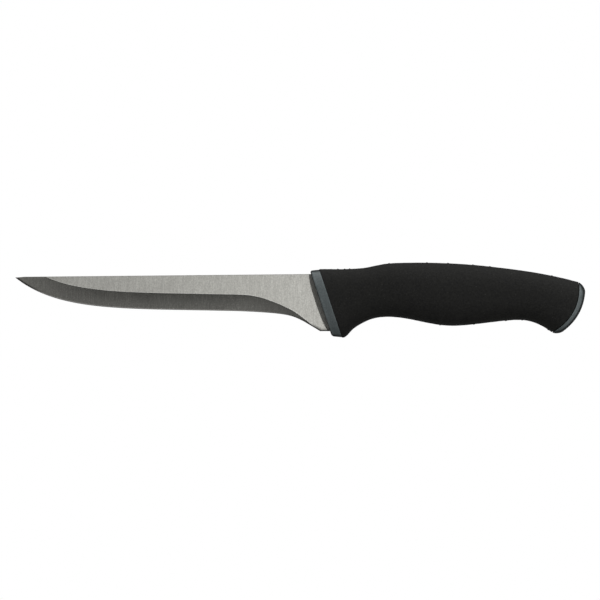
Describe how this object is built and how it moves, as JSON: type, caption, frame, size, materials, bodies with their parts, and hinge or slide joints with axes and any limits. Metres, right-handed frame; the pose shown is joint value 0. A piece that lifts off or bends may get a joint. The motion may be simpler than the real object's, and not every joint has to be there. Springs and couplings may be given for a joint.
{
  "type": "boning knife",
  "caption": "Boning knife with a narrow, straight-backed, hollow-ground steel blade and a contoured soft black handle between a slanted grey collar and a rounded grey end cap.",
  "frame": {"origin": "middle of the blade's height in the collar's front plane, on the blade's mid-plane, where the blade enters the handle", "axes": "+X along the knife towards the butt, so the tip points to -X; +Z towards the spine, so the cutting edge faces -Z; Y across the blade's thickness"},
  "size_m": [0.2936, 0.0232, 0.0386],
  "materials": {
    "blade_steel": "satin, ground across the blade on the flats and along it on the bevel",
    "hard_grey": "fine moulded texture, slightly satin",
    "core_plastic": "as moulded",
    "rivet_metal": "plain",
    "grip_rubber": "matte, finely pebbled"
  },
  "bodies": {
    "root": {"blade": "blade_steel", "front_collar": "hard_grey", "core_left": "core_plastic", "core_right": "core_plastic", "tang_rivets": "rivet_metal", "soft_grip": "grip_rubber", "end_cap": "hard_grey"}
  },
  "joints": []
}
